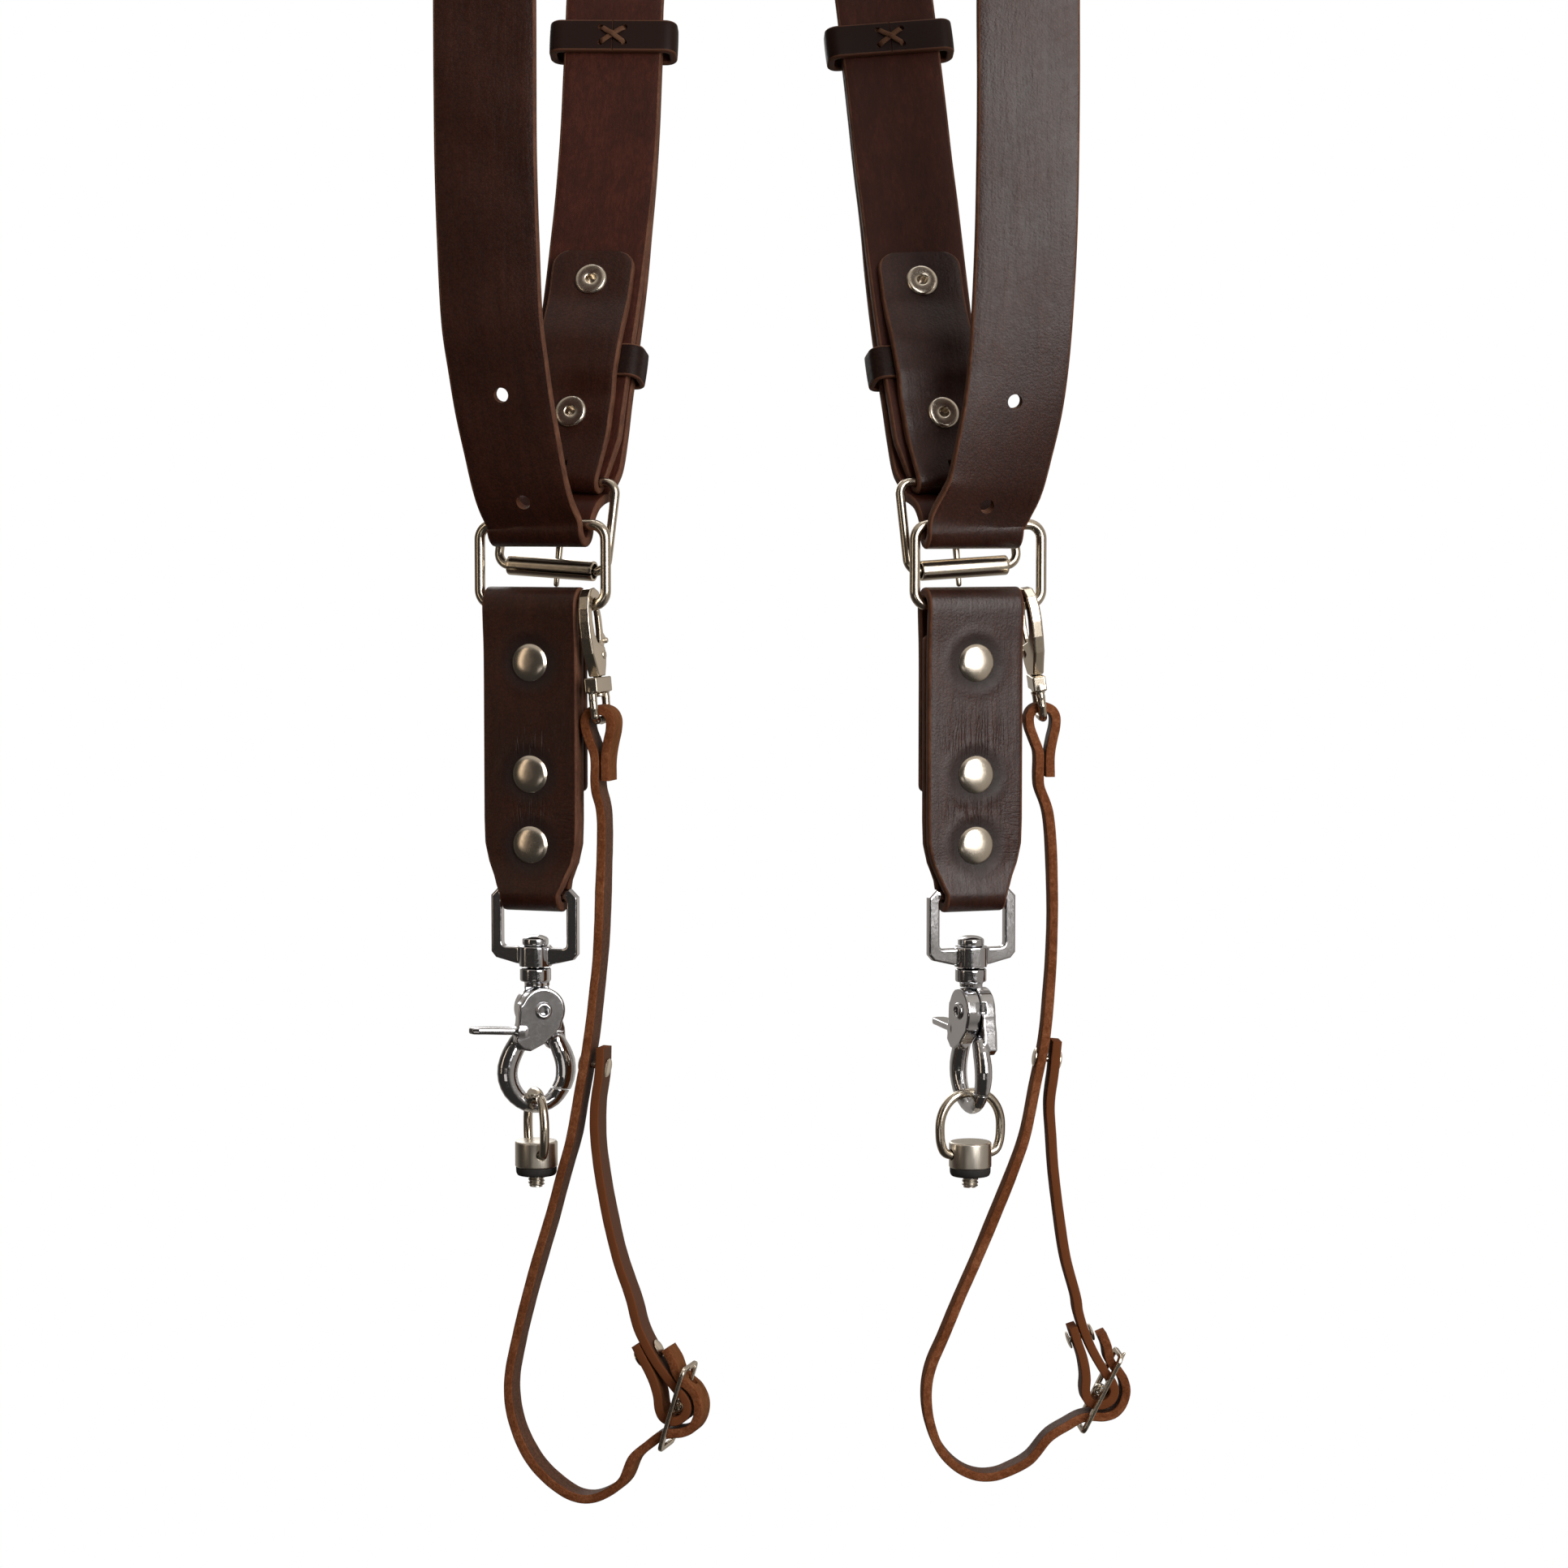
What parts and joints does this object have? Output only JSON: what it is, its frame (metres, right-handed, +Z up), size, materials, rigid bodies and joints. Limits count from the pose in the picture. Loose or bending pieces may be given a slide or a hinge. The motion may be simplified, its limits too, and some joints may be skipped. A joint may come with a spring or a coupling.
{
  "type": "dual shoulder camera harness",
  "caption": "Leather harness: shoulder straps crossed at the back, each hip with a roller buckle, ring, riveted tab, swivel trigger snap with camera screw, and a safety tether loop.",
  "frame": {"origin": "midway between the undersides of the two shoulder straps, at the height of the shoulder tops; the harness hangs below it", "axes": "+Z up; +X towards the harness's right as seen from the front of the straps; +Y from the front straps towards the back straps"},
  "size_m": [0.2608, 0.1276, 0.8671],
  "materials": {
    "strap_leather": "satin, waxed, grain side out",
    "tether_leather": "matt raw edges",
    "rivet_nickel": "satin nickel plate",
    "warm_nickel": "warm nickel plate",
    "snap_chrome": "polished chrome plate",
    "satin_nickel": "satin nickel plate",
    "black_rubber": "matt black"
  },
  "bodies": {
    "harness": {"shoulder_strap_left": "strap_leather", "shoulder_strap_right": "strap_leather", "back_patch": "strap_leather", "back_rivet": "rivet_nickel", "strap_rivet_upper_left": "rivet_nickel", "strap_rivet_lower_left": "rivet_nickel", "keeper_lower_left": "strap_leather", "strap_rivet_upper_right": "rivet_nickel", "strap_rivet_lower_right": "rivet_nickel", "keeper_lower_right": "strap_leather"},
    "keeper_left": {"keeper_upper_left": "strap_leather"},
    "buckle_left": {"buckle_frame_left": "warm_nickel"},
    "roller_left": {"buckle_roller_left": "warm_nickel"},
    "prong_left": {"buckle_prong_left": "warm_nickel"},
    "ring_left": {"link_ring_left": "warm_nickel"},
    "tab_left": {"tab_leather_left": "strap_leather", "tab_rivet_1_left": "rivet_nickel", "tab_rivet_2_left": "rivet_nickel", "tab_rivet_3_left": "rivet_nickel"},
    "eye_left": {"hook_eye_left": "snap_chrome"},
    "snap_left": {"hook_body_left": "snap_chrome", "hook_pin_left": "snap_chrome"},
    "trigger_left": {"hook_trigger_left": "snap_chrome"},
    "dring_left": {"screw_dring_left": "warm_nickel"},
    "screw_left": {"screw_cap_left": "satin_nickel", "screw_pad_left": "black_rubber"},
    "clasp_left": {"clasp_body_left": "warm_nickel"},
    "gate_left": {"clasp_lever_left": "warm_nickel"},
    "swivel_left": {"clasp_swivel_left": "warm_nickel"},
    "tether_left": {"tether_strap_left": "tether_leather", "tether_branch_left": "tether_leather", "tether_rivet_join_left": "rivet_nickel", "tether_rivet_buckle_left": "rivet_nickel"},
    "small_buckle_left": {"tether_buckle_left": "warm_nickel"},
    "needle_left": {"tether_needle_left": "warm_nickel"},
    "keeper_right": {"keeper_upper_right": "strap_leather"},
    "buckle_right": {"buckle_frame_right": "warm_nickel"},
    "roller_right": {"buckle_roller_right": "warm_nickel"},
    "prong_right": {"buckle_prong_right": "warm_nickel"},
    "ring_right": {"link_ring_right": "warm_nickel"},
    "tab_right": {"tab_leather_right": "strap_leather", "tab_rivet_1_right": "rivet_nickel", "tab_rivet_2_right": "rivet_nickel", "tab_rivet_3_right": "rivet_nickel"},
    "eye_right": {"hook_eye_right": "snap_chrome"},
    "snap_right": {"hook_body_right": "snap_chrome", "hook_pin_right": "snap_chrome"},
    "trigger_right": {"hook_trigger_right": "snap_chrome"},
    "dring_right": {"screw_dring_right": "warm_nickel"},
    "screw_right": {"screw_cap_right": "satin_nickel", "screw_pad_right": "black_rubber"},
    "clasp_right": {"clasp_body_right": "warm_nickel"},
    "gate_right": {"clasp_lever_right": "warm_nickel"},
    "swivel_right": {"clasp_swivel_right": "warm_nickel"},
    "tether_right": {"tether_strap_right": "tether_leather", "tether_branch_right": "tether_leather", "tether_rivet_join_right": "rivet_nickel", "tether_rivet_buckle_right": "rivet_nickel"},
    "small_buckle_right": {"tether_buckle_right": "warm_nickel"},
    "needle_right": {"tether_needle_right": "warm_nickel"}
  },
  "joints": [
    {"name": "keeper_slide_left", "type": "slide", "parent": "harness", "child": "keeper_left", "axis": [0.0292, 0.3216, 0.9464], "range_m": [-0.005, 0.005]},
    {"name": "buckle_rock_left", "type": "hinge", "parent": "harness", "child": "buckle_left", "pos_m": [-0.07439, 0.01079, -0.4788], "axis": [0.9298, -0.3629, -0.062], "range_deg": [-2, 3]},
    {"name": "roller_spin_left", "type": "hinge", "parent": "buckle_left", "child": "roller_left", "pos_m": [-0.07817, 0.00678, -0.51196], "axis": [0.9298, -0.3629, -0.062], "continuous": true},
    {"name": "prong_lift_left", "type": "hinge", "parent": "buckle_left", "child": "prong_left", "pos_m": [-0.07439, 0.01079, -0.4788], "axis": [0.9298, -0.3629, -0.062], "range_deg": [0, 5]},
    {"name": "ring_swing_left", "type": "hinge", "parent": "harness", "child": "ring_left", "pos_m": [-0.0813, 0, -0.4956], "axis": [0.9397, -0.342, 0], "range_deg": [-60, 6]},
    {"name": "tab_swing_left", "type": "hinge", "parent": "ring_left", "child": "tab_left", "pos_m": [-0.0813, 0, -0.5256], "axis": [0.9397, -0.342, 0], "range_deg": [-60, 60]},
    {"name": "eye_swing_left", "type": "hinge", "parent": "tab_left", "child": "eye_left", "pos_m": [-0.08453, -0.0001, -0.6335], "axis": [0.9397, -0.342, 0], "range_deg": [-40, 40]},
    {"name": "snap_swivel_left", "type": "hinge", "parent": "eye_left", "child": "snap_left", "pos_m": [-0.08453, -0.0001, -0.6594], "axis": [0, 0, 1], "range_deg": [-80, 30]},
    {"name": "trigger_open_left", "type": "hinge", "parent": "snap_left", "child": "trigger_left", "pos_m": [-0.0831, 0.00036, -0.6774], "axis": [-0.309, 0.9511, 0], "range_deg": [0, 25], "stiffness_Nm_per_rad": 0.06, "springref_deg": -22.92},
    {"name": "dring_swing_left", "type": "hinge", "parent": "trigger_left", "child": "dring_left", "pos_m": [-0.08453, -0.0001, -0.7137], "axis": [0.9511, 0.309, 0], "range_deg": [-1, 35]},
    {"name": "screw_tip_left", "type": "hinge", "parent": "dring_left", "child": "screw_left", "pos_m": [-0.08453, -0.0001, -0.7318], "axis": [-0.309, 0.9511, 0], "range_deg": [-12, 90]},
    {"name": "clasp_swing_left", "type": "hinge", "parent": "ring_left", "child": "clasp_left", "pos_m": [-0.0813, 0, -0.5256], "axis": [0.9397, -0.342, 0], "range_deg": [-30, 30]},
    {"name": "gate_open_left", "type": "hinge", "parent": "clasp_left", "child": "gate_left", "pos_m": [-0.06017, -0.00418, -0.54411], "axis": [0.9354, -0.3404, 0.0958], "range_deg": [0, 15], "stiffness_Nm_per_rad": 0.004, "springref_deg": -20.05},
    {"name": "eye_swivel_left", "type": "hinge", "parent": "clasp_left", "child": "swivel_left", "pos_m": [-0.06032, -0.00764, -0.55496], "axis": [-0.0901, 0.0328, 0.9954], "range_deg": [-14, 12]},
    {"name": "tether_swing_left", "type": "hinge", "parent": "swivel_left", "child": "tether_left", "pos_m": [-0.05913, -0.00807, -0.5681], "axis": [0.2756, 0.9613, 0], "range_deg": [-20, 0]},
    {"name": "small_buckle_rock_left", "type": "hinge", "parent": "tether_left", "child": "small_buckle_left", "pos_m": [-0.03096, -0.01614, -0.825], "axis": [0.2756, 0.9613, 0], "range_deg": [-0.5, 2]},
    {"name": "needle_lift_left", "type": "hinge", "parent": "small_buckle_left", "child": "needle_left", "pos_m": [-0.03096, -0.01614, -0.825], "axis": [0.2756, 0.9613, 0], "range_deg": [0, 3]},
    {"name": "keeper_slide_right", "type": "slide", "parent": "harness", "child": "keeper_right", "axis": [-0.1074, 0.3227, 0.9404], "range_m": [-0.005, 0.005]},
    {"name": "buckle_rock_right", "type": "hinge", "parent": "harness", "child": "buckle_right", "pos_m": [0.07233, 0.01004, -0.4788], "axis": [0.9295, 0.3643, 0.0569], "range_deg": [-2, 3]},
    {"name": "roller_spin_right", "type": "hinge", "parent": "buckle_right", "child": "roller_right", "pos_m": [0.07593, 0.006, -0.51187], "axis": [0.9295, 0.3643, 0.0569], "continuous": true},
    {"name": "prong_lift_right", "type": "hinge", "parent": "buckle_right", "child": "prong_right", "pos_m": [0.07233, 0.01004, -0.4788], "axis": [0.9295, 0.3643, 0.0569], "range_deg": [0, 5]},
    {"name": "ring_swing_right", "type": "hinge", "parent": "harness", "child": "ring_right", "pos_m": [0.0813, 0, -0.4956], "axis": [0.9397, 0.342, 0], "range_deg": [-60, 6]},
    {"name": "tab_swing_right", "type": "hinge", "parent": "ring_right", "child": "tab_right", "pos_m": [0.0813, 0, -0.5256], "axis": [0.9397, 0.342, 0], "range_deg": [-60, 60]},
    {"name": "eye_swing_right", "type": "hinge", "parent": "tab_right", "child": "eye_right", "pos_m": [0.07889, -0.00215, -0.6335], "axis": [0.9397, 0.342, 0], "range_deg": [-40, 40]},
    {"name": "snap_swivel_right", "type": "hinge", "parent": "eye_right", "child": "snap_right", "pos_m": [0.07889, -0.00215, -0.6594], "axis": [0, 0, 1], "continuous": true},
    {"name": "trigger_open_right", "type": "hinge", "parent": "snap_right", "child": "trigger_right", "pos_m": [0.07945, -0.00354, -0.6774], "axis": [0.9272, 0.3746, 0], "range_deg": [0, 25], "stiffness_Nm_per_rad": 0.06, "springref_deg": -22.92},
    {"name": "dring_swing_right", "type": "hinge", "parent": "trigger_right", "child": "dring_right", "pos_m": [0.07889, -0.00215, -0.7137], "axis": [0.3746, -0.9272, 0], "range_deg": [-35, 20]},
    {"name": "screw_tip_right", "type": "hinge", "parent": "dring_right", "child": "screw_right", "pos_m": [0.07889, -0.00215, -0.7318], "axis": [0.9272, 0.3746, 0], "range_deg": [-90, 90]},
    {"name": "clasp_swing_right", "type": "hinge", "parent": "ring_right", "child": "clasp_right", "pos_m": [0.0813, 0, -0.5256], "axis": [0.9397, 0.342, 0], "range_deg": [-30, 30]},
    {"name": "gate_open_right", "type": "hinge", "parent": "clasp_right", "child": "gate_right", "pos_m": [0.10108, 0.01071, -0.544], "axis": [0.9294, 0.3383, 0.1478], "range_deg": [0, 15], "stiffness_Nm_per_rad": 0.004, "springref_deg": -20.05},
    {"name": "eye_swivel_right", "type": "hinge", "parent": "clasp_right", "child": "swivel_right", "pos_m": [0.10372, 0.00816, -0.55478], "axis": [-0.1389, -0.0506, 0.989], "range_deg": [-25, 38]},
    {"name": "tether_swing_right", "type": "hinge", "parent": "swivel_right", "child": "tether_right", "pos_m": [0.10555, 0.00883, -0.56783], "axis": [-0.0698, 0.9976, 0], "range_deg": [-20, 0]},
    {"name": "small_buckle_rock_right", "type": "hinge", "parent": "tether_right", "child": "small_buckle_right", "pos_m": [0.1291, 0.01047, -0.825], "axis": [-0.0698, 0.9976, 0], "range_deg": [-0.5, 2]},
    {"name": "needle_lift_right", "type": "hinge", "parent": "small_buckle_right", "child": "needle_right", "pos_m": [0.1291, 0.01047, -0.825], "axis": [-0.0698, 0.9976, 0], "range_deg": [0, 3]}
  ]
}
